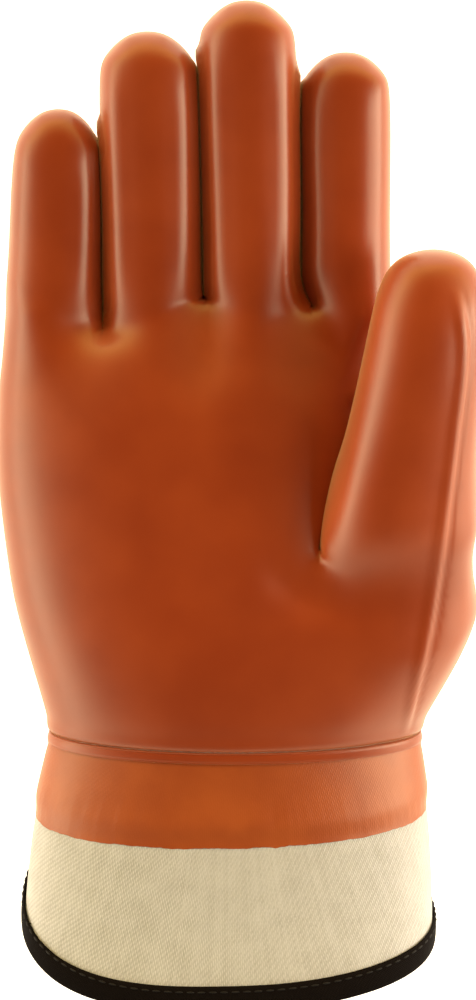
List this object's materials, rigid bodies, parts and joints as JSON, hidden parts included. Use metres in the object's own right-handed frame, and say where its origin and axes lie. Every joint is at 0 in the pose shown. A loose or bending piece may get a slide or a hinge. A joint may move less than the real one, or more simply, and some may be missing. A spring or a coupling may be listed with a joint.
{
  "type": "pvc coated work glove",
  "caption": "Coated winter work glove for the right hand: hollow shell with fingers and thumb, raised wrist seam, and a flared canvas cuff with a bound hem.",
  "frame": {"origin": "middle of the glove's bounding box, at its base on the surface that it lies on", "axes": "+Y from the hem to the fingertips, +X towards the thumb's side, +Z out of the palm"},
  "size_m": [0.1478, 0.2972, 0.0773],
  "materials": {
    "coating": "satin, smooth PVC in burnt orange",
    "coated_canvas": "satin PVC over canvas, the weave faintly showing",
    "canvas": "unbleached cotton twill canvas",
    "binding_tape": "dark brown woven tape, sewn"
  },
  "bodies": {
    "root": {"hand_shell": "coating", "wrist_seam": "coating", "cuff_coating": "coated_canvas", "canvas_cuff": "canvas", "hem_binding": "binding_tape"}
  },
  "joints": []
}
